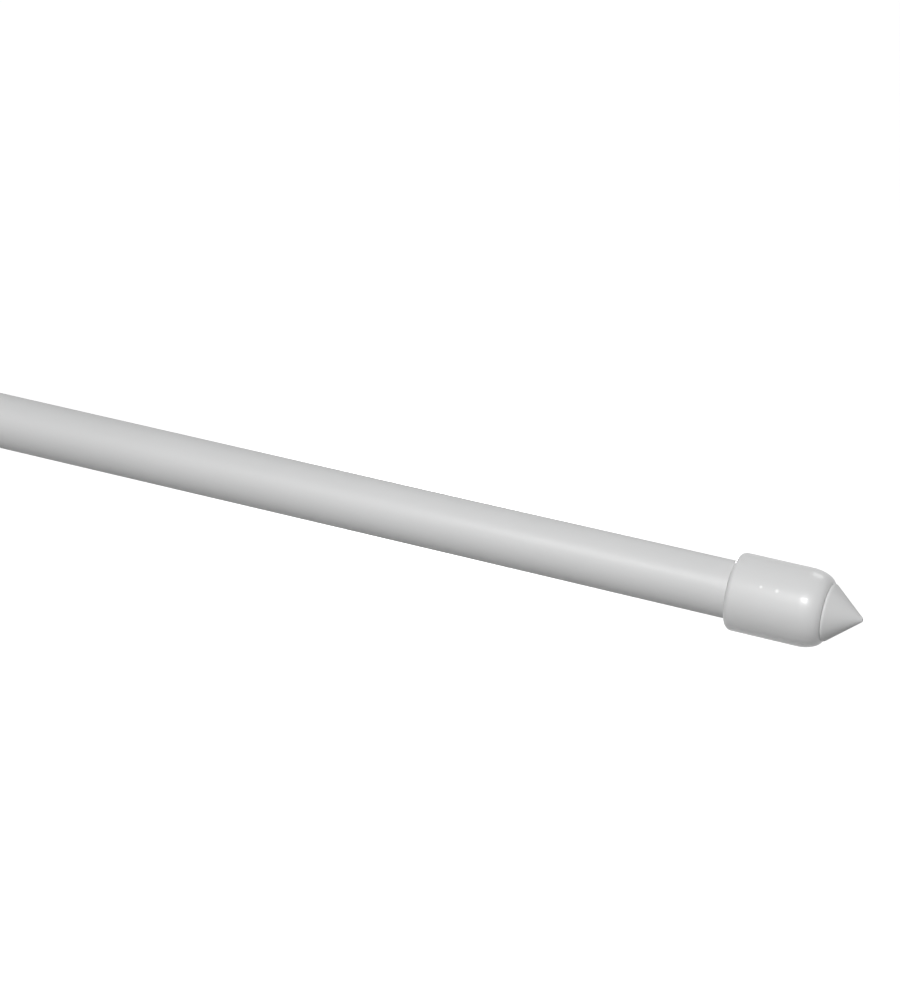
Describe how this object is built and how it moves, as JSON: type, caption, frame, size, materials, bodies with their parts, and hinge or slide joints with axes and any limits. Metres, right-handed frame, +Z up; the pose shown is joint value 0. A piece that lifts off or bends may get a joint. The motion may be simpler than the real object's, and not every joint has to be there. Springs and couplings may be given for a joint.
{
  "type": "spring tension rod",
  "caption": "Telescoping white rod with cone-tipped end sleeves, a twist lock inside, and a spring that presses its ends apart.",
  "frame": {"origin": "the tip of the outer tube's cone point, where the rod presses against its wall", "axes": "+X is the way the outer tube's cone point faces, along the rod; +Z is up with the rod level"},
  "size_m": [0.5, 0.0134, 0.0134],
  "materials": {
    "tube_paint": "white powder paint on steel, soft gloss",
    "sleeve_plastic": "white moulded plastic, glossy",
    "point_plastic": "white moulded plastic, satin",
    "bright_steel": "zinc plated steel",
    "spring_steel": "bright drawn spring steel",
    "nut_brass": "turned brass",
    "collet_nylon": "black nylon",
    "ring_rubber": "nitrile rubber",
    "natural_nylon": "natural nylon"
  },
  "bodies": {
    "outer_half": {"outer_tube": "tube_paint", "outer_end_sleeve": "sleeve_plastic", "outer_cone_point": "point_plastic"},
    "lock": {"expansion_collet": "collet_nylon", "collet_drag_ring": "ring_rubber"},
    "wedge": {"wedge_nut": "nut_brass"},
    "spindle": {"hex_spindle": "bright_steel", "spindle_end_clip": "spring_steel", "thrust_washer": "bright_steel", "thrust_collar": "bright_steel", "collar_pin": "bright_steel", "spring_pusher": "natural_nylon", "front_spring_washer": "bright_steel", "pressure_spring": "spring_steel"},
    "inner_half": {"inner_tube": "tube_paint", "inner_end_sleeve": "sleeve_plastic", "inner_cone_point": "point_plastic", "spindle_bush": "natural_nylon", "back_spring_washer": "bright_steel", "spring_stop_plug": "natural_nylon"}
  },
  "joints": [
    {"name": "length_slide", "type": "slide", "parent": "outer_half", "child": "lock", "axis": [-1, 0, 0], "range_m": [-0.1, 0.1]},
    {"name": "wedge_travel", "type": "slide", "parent": "lock", "child": "wedge", "axis": [1, 0, 0], "range_m": [0, 0.0014]},
    {"name": "twist_lock", "type": "hinge", "parent": "lock", "child": "spindle", "pos_m": [-0.154, 0, 0], "axis": [-1, 0, 0], "range_deg": [0, 720]},
    {"name": "spring_travel", "type": "slide", "parent": "spindle", "child": "inner_half", "axis": [1, 0, 0], "range_m": [0, 0.018], "stiffness_N_per_m": 2340, "springref_m": -0.004, "deforming": ["pressure_spring"]}
  ],
  "couplings": [
    {"joint": "wedge_travel", "follows": "twist_lock", "m_per_rad": 0.00011141}
  ]
}
